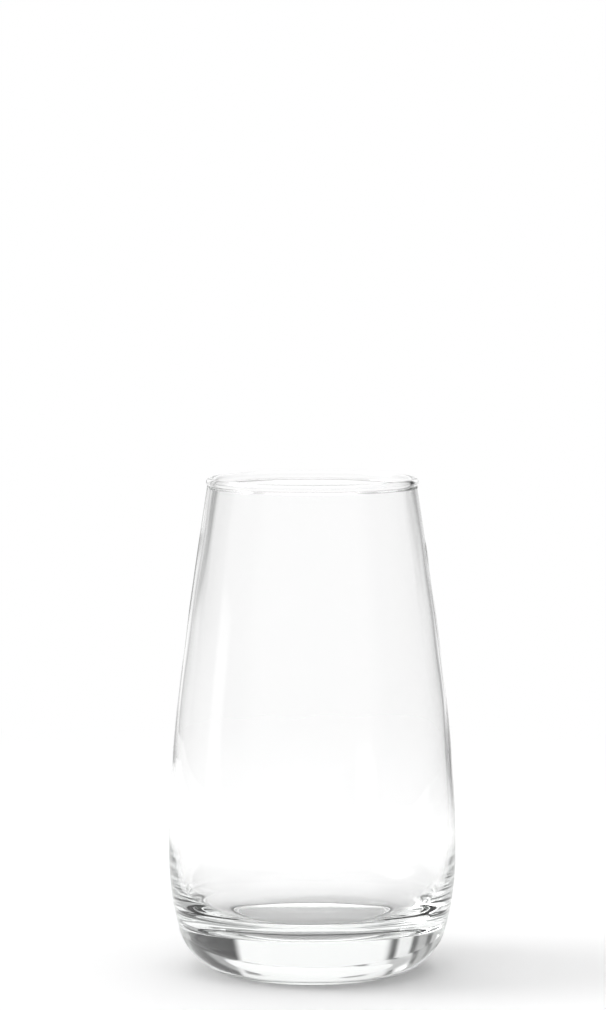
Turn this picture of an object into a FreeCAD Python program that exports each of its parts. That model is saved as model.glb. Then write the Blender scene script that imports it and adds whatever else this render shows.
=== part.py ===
import FreeCAD, Part
import math
import os

import Sketcher

# A heavy-based clear glass flower vase, one piece of glass, turned about +Z.
# The origin is the centre of the foot on the table. Lengths are millimetres.

DIMENSIONS = (
    # name, value, meaning
    ("total_height", 200.0, "table to the top of the rim bead"),
    ("foot_radius", 37.0, "outer edge of the flat land that touches the table"),
    ("foot_roll_radius", 3.5, "rounding from the land up into the heel"),
    ("heel_centre_radius", 31.4, "distance of the heel arc's centre from the axis"),
    ("heel_radius", 23.5, "heel, from the foot up into the side"),
    ("belly_radius", 58.2, "widest outside radius"),
    ("belly_height", 47.0, "height of the widest place"),
    ("belly_arc_radius", 525.0, "outside arc above the widest place"),
    ("belly_arc_top", 106.0, "height where that arc meets the upper wall"),
    ("neck_radius", 42.3, "outside radius of the wall under the rim bead"),
    ("bead_ring_radius", 41.3, "distance of the bead's centre from the axis"),
    ("bead_radius", 1.65, "fire-polished bead, half its thickness"),
    ("bead_blend_radius", 0.5, "hollow between the bead and the wall"),
    ("floor_height", 19.3, "thickness of the base slab"),
    ("floor_flat_radius", 34.0, "flat middle of the inside floor"),
    ("corner_radius", 20.0, "rounding from the floor up into the inside wall"),
    ("inner_belly_radius", 55.4, "widest inside radius"),
    ("inner_belly_height", 53.5, "height of the widest inside place"),
    ("inner_arc_radius", 515.0, "inside arc above the widest place"),
    ("inner_arc_top", 108.5, "height where that arc meets the upper wall"),
    ("mouth_radius", 40.1, "inside radius of the wall, carried up to the top of the rim"),
    ("punt_depth", 2.4, "height of the hollow under the base, at the axis"),
    ("punt_dome_radius", 700.0, "very shallow dome of that hollow"),
    ("punt_radius", 32.4, "radius where the dome meets the foot's inner slope"),
    ("foot_inner_radius", 34.4, "inner edge of the land, before rounding"),
    ("punt_rounding", 2.0, "rounding of the hollow's two edges"),
)
SHEET = "Dimensions"
VALUE = {name: value for name, value, _ in DIMENSIONS}
START = 1
END = 2
CENTRE = 3
ORIGIN = -1
VERTICAL_AXIS = -2
LEVEL = 1e-4
MARGIN = 0.1


def make_sheet(doc):
    """Put the driving dimensions in a spreadsheet, one alias for each."""
    sheet = doc.addObject("Spreadsheet::Sheet", SHEET)
    for row, (name, value, meaning) in enumerate(DIMENSIONS, start=1):
        sheet.set(f"A{row}", meaning)
        sheet.set(f"B{row}", str(value))
        sheet.setAlias(f"B{row}", name)
    doc.recompute()


def polar(centre, radius, angle):
    """The point at that angle on a circle, in sketch coordinates."""
    return (centre[0] + radius * math.cos(angle), centre[1] + radius * math.sin(angle))


def line(start, end):
    return Part.LineSegment(FreeCAD.Vector(*start, 0), FreeCAD.Vector(*end, 0))


def arc(centre, radius, start_angle, end_angle):
    """A counter-clockwise arc."""
    circle = Part.Circle(FreeCAD.Vector(*centre, 0), FreeCAD.Vector(0, 0, 1), radius)
    return Part.ArcOfCircle(circle, start_angle, end_angle)


def wall_arcs(low, belly_radius, belly_height, arc_radius, arc_top, mouth):
    """The arcs of one side of the wall, each tangent to the one below it.

    low is the centre, radius and start angle of the rounding at the bottom, and mouth is
    the point where the wall ends. The wall is upright at its widest place.
    """
    low_centre, low_radius, low_start = low
    inset = low_centre[0] - belly_radius
    drop = low_centre[1] - belly_height
    side_radius = (low_radius ** 2 - inset ** 2 - drop ** 2) / (2 * (inset + low_radius))
    side_centre = (belly_radius - side_radius, belly_height)
    join = math.atan2(drop, low_centre[0] - side_centre[0])

    belly_centre = (belly_radius - arc_radius, belly_height)
    lean = math.asin((arc_top - belly_height) / arc_radius)
    shoulder = polar(belly_centre, arc_radius, lean)

    across = mouth[0] - shoulder[0]
    rise = mouth[1] - shoulder[1]
    inward = -(across * math.cos(lean) + rise * math.sin(lean))
    upper_radius = (across ** 2 + rise ** 2) / (2 * inward)
    upper_centre = polar(shoulder, -upper_radius, lean)
    mouth_angle = math.atan2(mouth[1] - upper_centre[1], mouth[0] - upper_centre[0])
    return [
        arc(low_centre, low_radius, low_start, join),
        arc(side_centre, side_radius, join, 0.0),
        arc(belly_centre, arc_radius, 0.0, lean),
        arc(upper_centre, upper_radius, lean, mouth_angle),
    ]


def new_sketch(body, name):
    """A sketch on the body's own XZ plane, so its vertical axis is the vase's axis."""
    sketch = body.newObject("Sketcher::SketchObject", name)
    planes = [item for item in body.Origin.OriginFeatures if item.Role == "XZ_Plane"]
    sketch.AttachmentSupport = (planes[0], [""])
    sketch.MapMode = "FlatFace"
    return sketch


def close_profile(sketch, arcs, base_point):
    """Join a base line, the arcs, a top line and the axis into one closed outline."""
    mouth = arcs[-1].EndPoint
    foot = arcs[0].StartPoint
    outline = [line(base_point, (foot.x, foot.y))]
    outline.extend(arcs)
    outline.append(line((mouth.x, mouth.y), (0.0, mouth.y)))
    outline.append(line((0.0, mouth.y), base_point))
    sketch.addGeometry(outline, False)
    top = len(arcs) + 1
    for index in range(len(arcs)):
        sketch.addConstraint(Sketcher.Constraint("Tangent", index, END, index + 1, START))
    for index in (top - 1, top):
        sketch.addConstraint(Sketcher.Constraint("Coincident", index, END, index + 1, START))
    sketch.addConstraint(Sketcher.Constraint("Coincident", top + 1, END, 0, START))
    sketch.addConstraint(Sketcher.Constraint("Horizontal", 0))
    sketch.addConstraint(Sketcher.Constraint("Horizontal", top))
    sketch.addConstraint(Sketcher.Constraint("PointOnObject", 0, START, VERTICAL_AXIS))
    sketch.addConstraint(Sketcher.Constraint("PointOnObject", top, END, VERTICAL_AXIS))


def bind(sketch, constraint, expression):
    """Add a dimension whose value the sheet drives."""
    index = sketch.addConstraint(constraint)
    sketch.setExpression(f"Constraints[{index}]", expression)


def dimension_x(sketch, geometry, point, value, expression):
    constraint = Sketcher.Constraint("DistanceX", ORIGIN, START, geometry, point, value)
    bind(sketch, constraint, expression)


def dimension_y(sketch, geometry, point, value, expression):
    constraint = Sketcher.Constraint("DistanceY", ORIGIN, START, geometry, point, value)
    bind(sketch, constraint, expression)


def dimension_radius(sketch, geometry, value, expression):
    bind(sketch, Sketcher.Constraint("Radius", geometry, value), expression)


def cell(name):
    return f"{SHEET}.{name}"


def dimension_wall(sketch, side, names, mouth_radius, mouth_radius_rule, mouth_height, mouth_height_rule):
    """Dimension the side, belly and upper arcs, which start at geometry number side."""
    radius_name, height_name, arc_name, top_name = names
    dimension_x(sketch, side, END, VALUE[radius_name], cell(radius_name))
    dimension_y(sketch, side, END, VALUE[height_name], cell(height_name))
    dimension_y(sketch, side, CENTRE, VALUE[height_name], cell(height_name))
    dimension_radius(sketch, side + 1, VALUE[arc_name], cell(arc_name))
    dimension_y(sketch, side + 1, END, VALUE[top_name], cell(top_name))
    dimension_x(sketch, side + 2, END, mouth_radius, mouth_radius_rule)
    dimension_y(sketch, side + 2, END, mouth_height, mouth_height_rule)


def outer_profile(body):
    """The outside of the glass: foot, heel, side, belly and upper wall."""
    roll_radius = VALUE["foot_roll_radius"]
    roll_centre = (VALUE["foot_radius"], roll_radius)
    step = VALUE["heel_radius"] - roll_radius
    heel_start = -math.acos((roll_centre[0] - VALUE["heel_centre_radius"]) / step)
    heel_centre = polar(roll_centre, -step, heel_start)
    mouth = (VALUE["neck_radius"], VALUE["total_height"] - VALUE["bead_radius"])
    arcs = [arc(roll_centre, roll_radius, -math.pi / 2, heel_start)]
    arcs += wall_arcs(
        (heel_centre, VALUE["heel_radius"], heel_start),
        VALUE["belly_radius"],
        VALUE["belly_height"],
        VALUE["belly_arc_radius"],
        VALUE["belly_arc_top"],
        mouth,
    )
    sketch = new_sketch(body, "outer_profile")
    close_profile(sketch, arcs, (0.0, 0.0))
    sketch.addConstraint(Sketcher.Constraint("PointOnObject", 0, END, ORIGIN))
    dimension_x(sketch, 0, END, roll_centre[0], cell("foot_radius"))
    dimension_radius(sketch, 1, roll_radius, cell("foot_roll_radius"))
    dimension_radius(sketch, 2, VALUE["heel_radius"], cell("heel_radius"))
    dimension_x(sketch, 2, CENTRE, heel_centre[0], cell("heel_centre_radius"))
    dimension_wall(
        sketch,
        3,
        ("belly_radius", "belly_height", "belly_arc_radius", "belly_arc_top"),
        mouth[0],
        cell("neck_radius"),
        mouth[1],
        cell("total_height") + " - " + cell("bead_radius"),
    )
    return sketch


def cavity_profile(body):
    """The inside of the glass: flat floor, round corner and the wall up to the mouth."""
    corner_centre = (VALUE["floor_flat_radius"], VALUE["floor_height"] + VALUE["corner_radius"])
    mouth = (VALUE["mouth_radius"], VALUE["total_height"])
    arcs = wall_arcs(
        (corner_centre, VALUE["corner_radius"], -math.pi / 2),
        VALUE["inner_belly_radius"],
        VALUE["inner_belly_height"],
        VALUE["inner_arc_radius"],
        VALUE["inner_arc_top"],
        mouth,
    )
    sketch = new_sketch(body, "cavity_profile")
    close_profile(sketch, arcs, (0.0, VALUE["floor_height"]))
    dimension_y(sketch, 0, START, VALUE["floor_height"], cell("floor_height"))
    dimension_x(sketch, 0, END, corner_centre[0], cell("floor_flat_radius"))
    dimension_radius(sketch, 1, VALUE["corner_radius"], cell("corner_radius"))
    dimension_wall(
        sketch,
        2,
        ("inner_belly_radius", "inner_belly_height", "inner_arc_radius", "inner_arc_top"),
        mouth[0],
        cell("mouth_radius"),
        mouth[1],
        cell("total_height"),
    )
    return sketch


def bead_profile(body):
    """The round bead that fire-polishing leaves at the rim."""
    centre = (VALUE["bead_ring_radius"], VALUE["total_height"] - VALUE["bead_radius"])
    sketch = new_sketch(body, "bead_profile")
    circle = Part.Circle(FreeCAD.Vector(*centre, 0), FreeCAD.Vector(0, 0, 1), VALUE["bead_radius"])
    sketch.addGeometry(circle, False)
    dimension_x(sketch, 0, CENTRE, centre[0], cell("bead_ring_radius"))
    dimension_y(sketch, 0, CENTRE, centre[1], cell("total_height") + " - " + cell("bead_radius"))
    dimension_radius(sketch, 0, VALUE["bead_radius"], cell("bead_radius"))
    return sketch


def punt_profile(body):
    """The hollow under the base, a very shallow dome inside the foot's land."""
    depth = VALUE["punt_depth"]
    dome_radius = VALUE["punt_dome_radius"]
    centre = (0.0, depth - dome_radius)
    edge_angle = math.acos(VALUE["punt_radius"] / dome_radius)
    edge = polar(centre, dome_radius, edge_angle)
    inner_foot = (VALUE["foot_inner_radius"], 0.0)
    sketch = new_sketch(body, "punt_profile")
    outline = [
        line((0.0, 0.0), inner_foot),
        line(inner_foot, edge),
        arc(centre, dome_radius, edge_angle, math.pi / 2),
        line((0.0, depth), (0.0, 0.0)),
    ]
    sketch.addGeometry(outline, False)
    for index in range(len(outline)):
        following = (index + 1) % len(outline)
        sketch.addConstraint(Sketcher.Constraint("Coincident", index, END, following, START))
    sketch.addConstraint(Sketcher.Constraint("Coincident", 0, START, ORIGIN, START))
    sketch.addConstraint(Sketcher.Constraint("Horizontal", 0))
    sketch.addConstraint(Sketcher.Constraint("PointOnObject", 2, END, VERTICAL_AXIS))
    sketch.addConstraint(Sketcher.Constraint("PointOnObject", 2, CENTRE, VERTICAL_AXIS))
    dimension_x(sketch, 0, END, inner_foot[0], cell("foot_inner_radius"))
    dimension_x(sketch, 1, END, edge[0], cell("punt_radius"))
    dimension_radius(sketch, 2, dome_radius, cell("punt_dome_radius"))
    dimension_y(sketch, 2, END, depth, cell("punt_depth"))
    return sketch


def turn(body, kind, sketch, name):
    """Turn a sketch right round the vase's axis, adding or cutting glass."""
    feature = body.newObject(kind, name)
    feature.Profile = sketch
    feature.ReferenceAxis = (sketch, ["V_Axis"])
    feature.Angle = 360.0
    body.Document.recompute()
    return feature


def ring_edges(shape, wanted):
    """The names of the level circular edges that wanted(radius, height) picks."""
    picked = []
    for number, edge in enumerate(shape.Edges, start=1):
        box = edge.BoundBox
        if edge.isClosed() and box.ZLength < LEVEL and wanted(box.XMax, box.ZMax):
            picked.append(f"Edge{number}")
    return picked


def round_edges(body, base, name, wanted, radius_name):
    """Round the ring edges of base that wanted(radius, height) picks."""
    fillet = body.newObject("PartDesign::Fillet", name)
    fillet.Base = (base, ring_edges(base.Shape, wanted))
    fillet.Radius = VALUE[radius_name]
    fillet.setExpression("Radius", cell(radius_name))
    body.Document.recompute()
    return fillet


def is_punt_edge(radius, height):
    """The two rings where the punt's sloping side meets its dome and the land."""
    return height < VALUE["punt_depth"] and radius < VALUE["foot_inner_radius"] + MARGIN


def is_bead_joint(radius, height):
    """The two rings where the bead meets the outside and the inside of the wall."""
    middle = VALUE["total_height"] - VALUE["bead_radius"]
    return middle - VALUE["bead_radius"] < height < middle - MARGIN


def glass_vase(doc):
    """The whole vase: a turned blank, its hollow, the rim bead and the punt."""
    body = doc.addObject("PartDesign::Body", "glass_vase")
    body.Label = "glass_vase"
    blank = turn(body, "PartDesign::Revolution", outer_profile(body), "blank")
    blank_volume = blank.Shape.Volume
    cavity = turn(body, "PartDesign::Groove", cavity_profile(body), "cavity")
    hollow_volume = cavity.Shape.Volume
    bead = turn(body, "PartDesign::Revolution", bead_profile(body), "rim_bead")
    beaded_volume = bead.Shape.Volume
    punt = turn(body, "PartDesign::Groove", punt_profile(body), "punt")
    if not hollow_volume < blank_volume:
        raise RuntimeError("the cavity cut nothing")
    if not beaded_volume > hollow_volume:
        raise RuntimeError("the bead added nothing")
    if not punt.Shape.Volume < beaded_volume:
        raise RuntimeError("the punt cut nothing")
    rounded = round_edges(body, punt, "punt_rounding", is_punt_edge, "punt_rounding")
    rounded = round_edges(body, rounded, "bead_blend", is_bead_joint, "bead_blend_radius")
    body.Tip = rounded
    body.Placement = FreeCAD.Placement()
    return body


def check_document(doc, bodies):
    """Stop if anything failed to build."""
    for item in doc.Objects:
        if "Invalid" in item.State or "Error" in item.State:
            raise RuntimeError(f"{item.Name} failed: {item.State}")
    for body in bodies:
        if body.Shape.isNull() or not body.Shape.isValid():
            raise RuntimeError(f"{body.Label} has no valid shape")
        if len(body.Shape.Solids) != 1:
            raise RuntimeError(f"{body.Label} isn't one solid")


def main():
    doc = FreeCAD.newDocument("glass_cylinder_vase")
    make_sheet(doc)
    bodies = [glass_vase(doc)]
    doc.recompute()
    check_document(doc, bodies)
    os.makedirs("parts", exist_ok=True)
    for body in bodies:
        body.Shape.exportStep(f"parts/{body.Label}.step")
        box = body.Shape.optimalBoundingBox()
        size = (box.XLength, box.YLength, box.ZLength)
        print(body.Label, "volume", round(body.Shape.Volume), "size", [round(side, 2) for side in size])


main()
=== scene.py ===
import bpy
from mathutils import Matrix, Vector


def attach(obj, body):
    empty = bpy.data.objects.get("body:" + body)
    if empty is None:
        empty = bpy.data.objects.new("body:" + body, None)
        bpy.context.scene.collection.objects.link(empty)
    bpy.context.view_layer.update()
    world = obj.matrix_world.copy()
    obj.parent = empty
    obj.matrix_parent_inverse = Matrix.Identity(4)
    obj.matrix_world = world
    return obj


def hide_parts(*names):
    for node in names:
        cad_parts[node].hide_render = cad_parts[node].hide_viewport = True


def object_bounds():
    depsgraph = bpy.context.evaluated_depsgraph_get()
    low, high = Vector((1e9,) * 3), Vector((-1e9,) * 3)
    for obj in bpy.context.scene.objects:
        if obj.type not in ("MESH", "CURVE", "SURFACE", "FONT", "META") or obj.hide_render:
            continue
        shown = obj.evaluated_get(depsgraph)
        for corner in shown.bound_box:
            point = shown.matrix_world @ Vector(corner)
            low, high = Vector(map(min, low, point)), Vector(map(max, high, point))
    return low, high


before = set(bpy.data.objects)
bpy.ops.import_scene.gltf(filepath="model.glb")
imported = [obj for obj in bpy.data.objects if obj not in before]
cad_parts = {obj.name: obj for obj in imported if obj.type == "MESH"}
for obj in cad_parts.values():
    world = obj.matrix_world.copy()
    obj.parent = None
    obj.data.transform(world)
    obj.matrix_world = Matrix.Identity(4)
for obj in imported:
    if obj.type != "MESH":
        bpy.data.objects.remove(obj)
cad_box = [list(corner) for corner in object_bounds()]

import math

import bpy
from mathutils import Vector

# A clear glass vase, turned about +Z, standing on a pale studio sweep.
# Blender units are metres; the profile below is worked out in millimetres.

MM = 0.001

# ---------------------------------------------------------------- profile

TOTAL_HEIGHT = (cad_box[1][2] - cad_box[0][2]) / MM
BELLY_RADIUS = (cad_box[1][0] - cad_box[0][0]) / 2 / MM

FOOT_RADIUS = 37.0
FOOT_ROLL_RADIUS = 3.5
HEEL_CENTRE_RADIUS = 31.4
HEEL_RADIUS = 23.5
BELLY_HEIGHT = 47.0
BELLY_ARC_RADIUS = 525.0
BELLY_ARC_TOP = 106.0
NECK_RADIUS = 42.3
BEAD_RING_RADIUS = 41.3
BEAD_RADIUS = 1.65
BEAD_BLEND_RADIUS = 0.5
FLOOR_HEIGHT = 19.3
FLOOR_FLAT_RADIUS = 34.0
CORNER_RADIUS = 20.0
INNER_BELLY_RADIUS = 55.4
INNER_BELLY_HEIGHT = 53.5
INNER_ARC_RADIUS = 515.0
INNER_ARC_TOP = 108.5
MOUTH_RADIUS = 40.1
PUNT_DEPTH = 2.4
PUNT_DOME_RADIUS = 700.0
PUNT_RADIUS = 32.4
FOOT_INNER_RADIUS = 34.4
PUNT_ROUNDING = 2.0

# The dome's direction at its edge is taken from a point this far inside it.
DOME_RUN = 3.0
DOME_STEPS = 40

LONGEST_STEP = 1.0
LARGEST_TURN = math.radians(5)
AROUND = 240

# The glass wavers off its true profile in long low waves: each is a direction, whose
# length is in radians a millimetre, and a phase.
INSIDE_WAVER = 0.015
OUTSIDE_WAVER = 0.004
WAVES = (
    (Vector((0.21, 0.05, 0.09)), 0.4),
    (Vector((-0.08, 0.19, 0.05)), 2.1),
    (Vector((0.13, -0.15, 0.12)), 4.0),
    (Vector((0.06, 0.28, -0.07)), 5.2),
    (Vector((-0.26, -0.11, 0.15)), 1.3),
)
# The heights over which the waver grows from nothing, above the table and under the bead.
STEADY_FOOT = 4.0
STEADY_RIM = 12.0


def polar(centre, radius, angle):
    """The point at that distance and angle from a centre."""
    return Vector((centre[0] + radius * math.cos(angle), centre[1] + radius * math.sin(angle)))


def arc(centre, radius, start, end):
    """Points along an arc from one angle to the other, without its last point."""
    turn = abs(end - start)
    steps = max(2, math.ceil(turn / LARGEST_TURN), math.ceil(turn * radius / LONGEST_STEP))
    return [polar(centre, radius, start + (end - start) * i / steps) for i in range(steps)]


def straight(start, end):
    """Points along a line, without its last point."""
    steps = max(1, math.ceil((Vector(end) - Vector(start)).length / LONGEST_STEP))
    return [Vector(start).lerp(Vector(end), i / steps) for i in range(steps)]


def rounded_corner(before, corner, after, radius):
    """The arc of that radius in a corner of two straight runs, both ends included."""
    corner = Vector(corner)
    back = (Vector(before) - corner).normalized()
    ahead = (Vector(after) - corner).normalized()
    half = back.angle(ahead) / 2
    reach = radius / math.tan(half)
    centre = corner + (back + ahead).normalized() * (radius / math.sin(half))
    first = corner + back * reach - centre
    last = corner + ahead * reach - centre
    start = math.atan2(first.y, first.x)
    turn = math.atan2(last.y, last.x) - start
    turn = (turn + math.pi) % (2 * math.pi) - math.pi
    return arc(centre, radius, start, start + turn) + [centre + last]


def wall(low, belly_radius, belly_height, arc_radius, arc_top, mouth):
    """The arcs of one side of the wall, as (centre, radius, start, end), going up.

    low is the lowest arc, as (centre, radius, start).
    """
    low_centre, low_radius, low_start = low
    inset = low_centre[0] - belly_radius
    drop = low_centre[1] - belly_height
    side_radius = (low_radius ** 2 - inset ** 2 - drop ** 2) / (2 * (inset + low_radius))
    side_centre = Vector((belly_radius - side_radius, belly_height))
    join = math.atan2(drop, low_centre[0] - side_centre.x)
    belly_centre = Vector((belly_radius - arc_radius, belly_height))
    lean = math.asin((arc_top - belly_height) / arc_radius)
    shoulder = polar(belly_centre, arc_radius, lean)
    across = Vector(mouth) - shoulder
    inward = -(across.x * math.cos(lean) + across.y * math.sin(lean))
    upper_radius = across.length_squared / (2 * inward)
    upper_centre = polar(shoulder, -upper_radius, lean)
    mouth_angle = math.atan2(mouth[1] - upper_centre.y, mouth[0] - upper_centre.x)
    return [
        (low_centre, low_radius, low_start, join),
        (side_centre, side_radius, join, 0.0),
        (belly_centre, arc_radius, 0.0, lean),
        (upper_centre, upper_radius, lean, mouth_angle),
    ]


def outer_wall():
    roll_centre = Vector((FOOT_RADIUS, FOOT_ROLL_RADIUS))
    step = HEEL_RADIUS - FOOT_ROLL_RADIUS
    heel_start = -math.acos((roll_centre.x - HEEL_CENTRE_RADIUS) / step)
    heel_centre = polar(roll_centre, -step, heel_start)
    arcs = [(roll_centre, FOOT_ROLL_RADIUS, -math.pi / 2, heel_start)]
    low = (heel_centre, HEEL_RADIUS, heel_start)
    mouth = (NECK_RADIUS, TOTAL_HEIGHT - BEAD_RADIUS)
    return arcs + wall(low, BELLY_RADIUS, BELLY_HEIGHT, BELLY_ARC_RADIUS, BELLY_ARC_TOP, mouth)


def inner_wall():
    corner_centre = Vector((FLOOR_FLAT_RADIUS, FLOOR_HEIGHT + CORNER_RADIUS))
    low = (corner_centre, CORNER_RADIUS, -math.pi / 2)
    mouth = (MOUTH_RADIUS, TOTAL_HEIGHT)
    return wall(low, INNER_BELLY_RADIUS, INNER_BELLY_HEIGHT, INNER_ARC_RADIUS, INNER_ARC_TOP, mouth)


def rim_hollow(wall_arc, side):
    """Where a small hollow meets the upper wall's arc and the bead.

    side is 1 outside and -1 inside. Returns the hollow's centre, the angle on the wall's
    arc and the angle on the bead.
    """
    centre, radius = wall_arc[0], wall_arc[1]
    bead_centre = Vector((BEAD_RING_RADIUS, TOTAL_HEIGHT - BEAD_RADIUS))
    from_wall = radius + side * BEAD_BLEND_RADIUS
    from_bead = BEAD_RADIUS + BEAD_BLEND_RADIUS
    apart = bead_centre - centre
    along = (from_wall ** 2 - from_bead ** 2 + apart.length_squared) / (2 * apart.length)
    aside = math.sqrt(from_wall ** 2 - along ** 2)
    unit = apart.normalized()
    across = Vector((unit.y, -unit.x))
    hollow = centre + unit * along + across * aside
    if side < 0 and hollow.y > bead_centre.y:
        hollow = centre + unit * along - across * aside
    on_wall = hollow - centre
    on_bead = hollow - bead_centre
    return hollow, math.atan2(on_wall.y, on_wall.x), math.atan2(on_bead.y, on_bead.x)


def dome(radius):
    """The point at that radius on the dome under the foot."""
    return Vector((radius, PUNT_DEPTH - radius ** 2 / (2 * PUNT_DOME_RADIUS)))


def underside():
    """Points from the axis out to the foot's outer edge, without the last one."""
    dome_in = dome(PUNT_RADIUS - DOME_RUN)
    dome_edge = dome(PUNT_RADIUS)
    land_in = Vector((FOOT_INNER_RADIUS, 0.0))
    land_out = Vector((FOOT_RADIUS, 0.0))
    inner_round = rounded_corner(dome_in, dome_edge, land_in, PUNT_ROUNDING)
    outer_round = rounded_corner(dome_edge, land_in, land_out, PUNT_ROUNDING)
    points = [dome(inner_round[0].x * i / DOME_STEPS) for i in range(DOME_STEPS)]
    points += inner_round[:-1]
    points += straight(inner_round[-1], outer_round[0])
    points += outer_round[:-1]
    points += straight(outer_round[-1], land_out)
    return points


def profile():
    """The half section, from the axis under the base round to the axis on the floor."""
    outer = outer_wall()
    inner = inner_wall()
    out_hollow, out_wall, out_bead = rim_hollow(outer[-1], 1)
    in_hollow, in_wall, in_bead = rim_hollow(inner[-1], -1)
    points = underside()
    for centre, radius, start, end in outer[:-1]:
        points += arc(centre, radius, start, end)
    centre, radius, start, _ = outer[-1]
    points += arc(centre, radius, start, out_wall)
    points += arc(out_hollow, BEAD_BLEND_RADIUS, out_wall + math.pi, out_bead + math.pi)
    bead_centre = (BEAD_RING_RADIUS, TOTAL_HEIGHT - BEAD_RADIUS)
    points += arc(bead_centre, BEAD_RADIUS, out_bead, in_bead % (2 * math.pi))
    points += arc(in_hollow, BEAD_BLEND_RADIUS, in_bead - math.pi, in_wall)
    centre, radius, start, _ = inner[-1]
    points += arc(centre, radius, in_wall, start)
    for centre, radius, start, end in reversed(inner[:-1]):
        points += arc(centre, radius, end, start)
    points += straight((FLOOR_FLAT_RADIUS, FLOOR_HEIGHT), (0.0, FLOOR_HEIGHT))
    points.append(Vector((0.0, FLOOR_HEIGHT)))
    return points


def normals(points):
    """The outward direction at each point of the profile, which has glass on its left."""
    found = []
    for i in range(len(points)):
        before = points[max(i - 1, 0)]
        after = points[min(i + 1, len(points) - 1)]
        along = (after - before).normalized()
        found.append(Vector((along.y, -along.x)))
    return found


def waver(point, normal, angle):
    """How far the glass lies off its profile there, in millimetres.

    The inside and the dome under the foot waver more than the outside. The foot's land, the
    bead and the hollows beside it stay true.
    """
    inside = normal.x < 0 or point.y > FLOOR_HEIGHT / 2 and point.x < FLOOR_FLAT_RADIUS
    under_bead = TOTAL_HEIGHT - 2 * BEAD_RADIUS - BEAD_BLEND_RADIUS - point.y
    steady = min(1.0, point.y / STEADY_FOOT, max(0.0, under_bead / STEADY_RIM))
    place = Vector((point.x * math.cos(angle), point.x * math.sin(angle), point.y))
    wave = sum(math.sin(place.dot(along) + phase) for along, phase in WAVES)
    return (INSIDE_WAVER if inside else -OUTSIDE_WAVER) * steady * wave


def lathe(name, points, around):
    """Turn a profile that starts and ends on the axis into one closed mesh.

    The point under the base, on the axis, stays true.
    """
    directions = normals(points)
    rings = []
    for point, direction in zip(points[1:-1], directions[1:-1]):
        ring = []
        for i in range(around):
            angle = 2 * math.pi * i / around
            place = point + direction * waver(point, direction, angle)
            ring.append((place.x * math.cos(angle) * MM, place.x * math.sin(angle) * MM, place.y * MM))
        rings.append(ring)
    floor = points[-1].y + waver(points[-1], Vector((0.0, 1.0)), 0.0)
    verts = [(0.0, 0.0, points[0].y * MM)]
    verts += [vert for ring in rings for vert in ring]
    verts.append((0.0, 0.0, floor * MM))
    last = len(verts) - 1
    faces = []
    for i in range(around):
        faces.append((0, 1 + (i + 1) % around, 1 + i))
    for row in range(len(rings) - 1):
        low = 1 + row * around
        high = low + around
        for i in range(around):
            j = (i + 1) % around
            faces.append((low + i, low + j, high + j, high + i))
    low = 1 + (len(rings) - 1) * around
    for i in range(around):
        faces.append((low + i, low + (i + 1) % around, last))
    mesh = bpy.data.meshes.new(name)
    mesh.from_pydata(verts, [], faces)
    mesh.polygons.foreach_set("use_smooth", [True] * len(faces))
    mesh.update()
    obj = bpy.data.objects.new(name, mesh)
    bpy.context.scene.collection.objects.link(obj)
    return obj


# ---------------------------------------------------------------- materials


GLASS_IOR = 1.52
GLASS_TINT = (0.95, 0.975, 0.96, 1.0)
GLASS_DENSITY = 5.0
CARD_WHITE = (0.96, 0.96, 0.96, 1.0)


def new_material(name):
    """A material with an empty node tree, and that tree."""
    material = bpy.data.materials.new(name)
    material.use_nodes = True
    tree = material.node_tree
    tree.nodes.clear()
    return material, tree


def clear_glass():
    material, tree = new_material("clear_glass")
    output = tree.nodes.new("ShaderNodeOutputMaterial")
    glass = tree.nodes.new("ShaderNodeBsdfPrincipled")
    glass.inputs["Base Color"].default_value = (1.0, 1.0, 1.0, 1.0)
    glass.inputs["Roughness"].default_value = 0.0
    glass.inputs["IOR"].default_value = GLASS_IOR
    glass.inputs["Transmission Weight"].default_value = 1.0
    tree.links.new(glass.outputs["BSDF"], output.inputs["Surface"])
    absorption = tree.nodes.new("ShaderNodeVolumeAbsorption")
    absorption.inputs["Color"].default_value = GLASS_TINT
    absorption.inputs["Density"].default_value = GLASS_DENSITY
    tree.links.new(absorption.outputs["Volume"], output.inputs["Volume"])
    return material


# ---------------------------------------------------------------- studio

# Light of the world, as a share of white. Each band is its middle, half its width, the
# width of its soft edge, and its level. Angles are degrees from +Y towards +X, and later
# bands cover earlier ones.
VIEWED = ((0.0, 25.0, 4.0, 1.0),)
HORIZON_BANDS = ((-90.0, 7.0, 4.0, 1.0),)
FRONT_LEVEL = 0.65
UNDER_LEVEL = 1.0
OVERHEAD_LEVEL = 1.7
HIGH_BANDS = (
    (90.0, 50.0, 30.0, 0.50),
    (-90.0, 50.0, 30.0, 0.60),
) + VIEWED
ROOM_BANDS = (
    (90.0, 32.0, 24.0, 0.30),
    (-90.0, 32.0, 24.0, 0.40),
    (42.0, 19.0, 4.0, 0.05),
    (-41.0, 15.0, 4.0, 0.10),
    (-33.5, 4.0, 3.0, 0.90),
    (-46.0, 4.0, 4.0, 0.45),
) + VIEWED
TABLE_BANDS = (
    (90.0, 66.0, 16.0, 0.40),
    (-90.0, 66.0, 16.0, 0.58),
    (135.0, 8.0, 4.0, 1.0),
) + VIEWED + HORIZON_BANDS
OUTLINE_BANDS = (
    (19.5, 3.0, 3.0, 0.35),
    (-13.0, 4.0, 3.0, 0.35),
)

# The angles above level, in degrees, between which one zone gives way to the one above it.
UNDER_TO_TABLE = (-14.0, -9.0)
TABLE_TO_OUTLINE = (-5.5, -4.5)
OUTLINE_TO_HORIZON = (0.0, 2.0)
HORIZON_TO_ROOM = (4.0, 6.0)
ROOM_TO_HIGH = (15.0, 26.0)
HIGH_TO_OVERHEAD = (45.0, 70.0)

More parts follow.
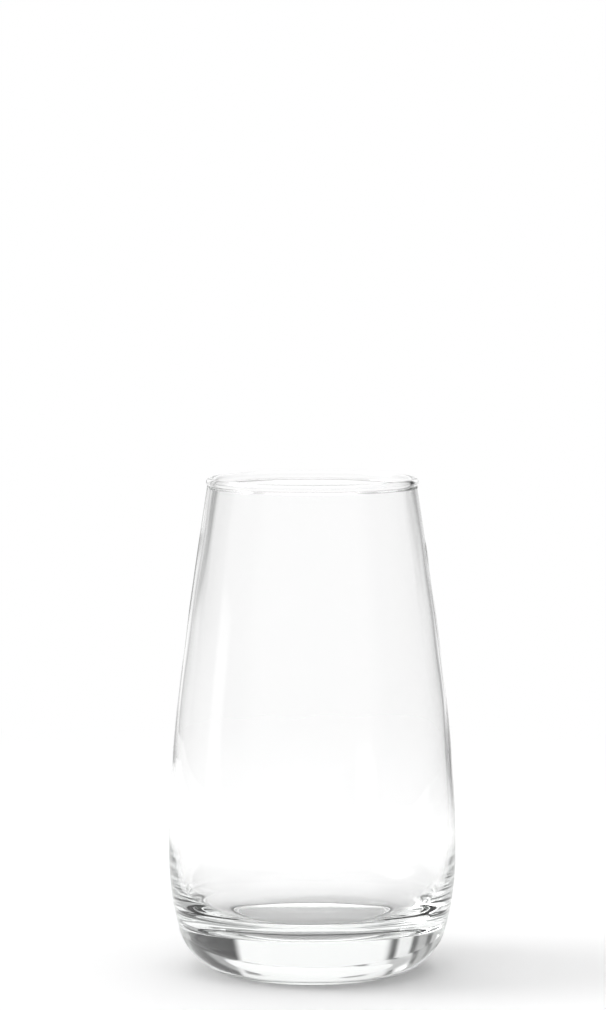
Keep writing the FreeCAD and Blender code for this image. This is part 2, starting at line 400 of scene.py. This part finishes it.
# The key light: its middle, and how far from it the glow starts to fall and ends.
KEY_TURN = -88.0
KEY_TURN_FALL = (9.0, 27.0)
KEY_RISE = 27.0
KEY_RISE_FALL = (5.0, 19.0)
KEY_LEVEL = 5.6

# The floor's painted glow where it meets the world: white, with a band of painted shade laid over it.
# Also the distances in metres where the card fades into that glow.
PAINTED_FLOOR_SHADE_BANDS = ((50.0, 22.0, 8.0, 0.48),)
FADE_START = 0.30
FADE_END = 0.75


class Nodes:
    """Short calls for the maths nodes of one tree."""

    def __init__(self, tree):
        self.tree = tree

    def set_input(self, socket, value):
        if isinstance(value, (int, float)):
            socket.default_value = value
        else:
            self.tree.links.new(value, socket)

    def maths(self, operation, first, second=None):
        node = self.tree.nodes.new("ShaderNodeMath")
        node.operation = operation
        self.set_input(node.inputs[0], first)
        if second is not None:
            self.set_input(node.inputs[1], second)
        return node.outputs["Value"]

    def ramp(self, value, low, high, start=0.0, end=1.0):
        """start below low, end above high, and a smooth change between."""
        node = self.tree.nodes.new("ShaderNodeMapRange")
        node.interpolation_type = "SMOOTHSTEP"
        self.set_input(node.inputs["Value"], value)
        node.inputs["From Min"].default_value = low
        node.inputs["From Max"].default_value = high
        node.inputs["To Min"].default_value = start
        node.inputs["To Max"].default_value = end
        return node.outputs["Result"]

    def blend(self, share, first, second):
        node = self.tree.nodes.new("ShaderNodeMix")
        node.data_type = "FLOAT"
        self.set_input(node.inputs[0], share)
        self.set_input(node.inputs[2], first)
        self.set_input(node.inputs[3], second)
        return node.outputs[0]


def banded(nodes, turn, level, bands):
    """A level of light with upright bands of other levels laid over it."""
    for centre, half_width, edge, band_level in bands:
        away = nodes.maths("ABSOLUTE", nodes.maths("SUBTRACT", turn, math.radians(centre)))
        low = math.radians(half_width - edge / 2)
        high = math.radians(half_width + edge / 2)
        level = nodes.blend(nodes.ramp(away, low, high), band_level, level)
    return level


def zones(nodes, rise, span, below, above):
    """The level below a span of angles, the one above it, and a smooth change between."""
    low, high = span
    return nodes.blend(nodes.ramp(rise, math.radians(low), math.radians(high)), below, above)


def glow_share(nodes, value, middle, fall, level):
    """level near the middle angle, falling smoothly to nothing at the end of the fall."""
    away = nodes.maths("ABSOLUTE", nodes.maths("SUBTRACT", value, math.radians(middle)))
    start, end = fall
    return nodes.ramp(away, math.radians(start), math.radians(end), level, 0.0)


def studio_world():
    """White where the views look, with darker uprights that draw the edges of clear glass."""
    world = bpy.data.worlds.new("studio")
    world.use_nodes = True
    tree = world.node_tree
    tree.nodes.clear()
    nodes = Nodes(tree)
    direction = tree.nodes.new("ShaderNodeTexCoord").outputs["Generated"]
    split = tree.nodes.new("ShaderNodeSeparateXYZ")
    tree.links.new(direction, split.inputs["Vector"])
    x, y, z = split.outputs
    turn = nodes.maths("ARCTAN2", x, y)
    rise = nodes.maths("ARCSINE", z)

    room = banded(nodes, turn, FRONT_LEVEL, ROOM_BANDS)
    high = banded(nodes, turn, FRONT_LEVEL, HIGH_BANDS)
    high = zones(nodes, rise, HIGH_TO_OVERHEAD, high, OVERHEAD_LEVEL)
    horizon = banded(nodes, turn, room, HORIZON_BANDS)
    room = zones(nodes, rise, HORIZON_TO_ROOM, horizon, room)
    room = zones(nodes, rise, ROOM_TO_HIGH, room, high)
    table = banded(nodes, turn, FRONT_LEVEL, TABLE_BANDS)
    table = zones(nodes, rise, UNDER_TO_TABLE, UNDER_LEVEL, table)
    outline = banded(nodes, turn, table, OUTLINE_BANDS)
    table = zones(nodes, rise, TABLE_TO_OUTLINE, table, outline)
    level = zones(nodes, rise, OUTLINE_TO_HORIZON, table, room)
    aside = glow_share(nodes, turn, KEY_TURN, KEY_TURN_FALL, KEY_LEVEL)
    above = glow_share(nodes, rise, KEY_RISE, KEY_RISE_FALL, 1.0)
    glow = nodes.maths("MULTIPLY", aside, above)
    level = nodes.maths("ADD", level, glow)

    light = tree.nodes.new("ShaderNodeBackground")
    tree.links.new(level, light.inputs["Color"])
    output = tree.nodes.new("ShaderNodeOutputWorld")
    tree.links.new(light.outputs["Background"], output.inputs["Surface"])
    bpy.context.scene.world = world


def sweep_material():
    """White card under the vase. Further out it fades into a glow painted on the floor itself, as
    bright as the studio's light, with a band of painted shade.
    """
    material, tree = new_material("studio_sweep")
    nodes = Nodes(tree)
    place = tree.nodes.new("ShaderNodeTexCoord").outputs["Object"]
    split = tree.nodes.new("ShaderNodeSeparateXYZ")
    tree.links.new(place, split.inputs["Vector"])
    turn = nodes.maths("ARCTAN2", split.outputs["X"], split.outputs["Y"])
    distance = tree.nodes.new("ShaderNodeVectorMath")
    distance.operation = "LENGTH"
    tree.links.new(place, distance.inputs[0])
    card = tree.nodes.new("ShaderNodeBsdfDiffuse")
    card.inputs["Color"].default_value = CARD_WHITE
    # Further out the floor glows: painted light as bright as the studio's white, with a darker wedge
    # of painted shade round 50 degrees from +Y towards +X.
    light = tree.nodes.new("ShaderNodeEmission")
    tree.links.new(banded(nodes, turn, 1.0, PAINTED_FLOOR_SHADE_BANDS), light.inputs["Color"])
    mix = tree.nodes.new("ShaderNodeMixShader")
    fade = nodes.ramp(distance.outputs["Value"], FADE_START, FADE_END)
    tree.links.new(fade, mix.inputs["Fac"])
    tree.links.new(card.outputs["BSDF"], mix.inputs[1])
    tree.links.new(light.outputs["Emission"], mix.inputs[2])
    output = tree.nodes.new("ShaderNodeOutputMaterial")
    tree.links.new(mix.outputs["Shader"], output.inputs["Surface"])
    return material


def studio_floor():
    mesh = bpy.data.meshes.new("studio_floor")
    reach = FADE_END
    corners = [(-reach, -reach, 0), (reach, -reach, 0), (reach, reach, 0), (-reach, reach, 0)]
    mesh.from_pydata(corners, [], [(0, 1, 2, 3)])
    floor = bpy.data.objects.new("studio_floor", mesh)
    bpy.context.scene.collection.objects.link(floor)
    floor.data.materials.append(sweep_material())


CAMERA_PLACE = (-0.00378, -1.738, 0.326)
CAMERA_DOWN = 4.51
CAMERA_LENS = 153.9
CAMERA_SENSOR = 36.0
CAMERA_REACH = 100.0


def camera():
    """Looks along +Y, and down by some degrees. The lens and sensor are in millimetres."""
    data = bpy.data.cameras.new("camera")
    data.sensor_width = CAMERA_SENSOR
    data.lens = CAMERA_LENS
    data.clip_end = CAMERA_REACH
    obj = bpy.data.objects.new("camera", data)
    obj.location = CAMERA_PLACE
    obj.rotation_euler = (math.radians(90 - CAMERA_DOWN), 0, 0)
    bpy.context.scene.collection.objects.link(obj)
    bpy.context.scene.camera = obj


vase = lathe("vase", profile(), AROUND)
vase.data.materials.append(clear_glass())
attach(vase, "root")
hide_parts("glass_vase")
studio_floor()
studio_world()
camera()
bpy.context.scene.view_settings.view_transform = "Standard"

# Light turns many times inside thick glass, and the usual limits leave dark patches in it.
LIGHT_BOUNCES = 32
cycles = bpy.context.scene.cycles
cycles.max_bounces = LIGHT_BOUNCES
cycles.glossy_bounces = LIGHT_BOUNCES
cycles.transmission_bounces = LIGHT_BOUNCES
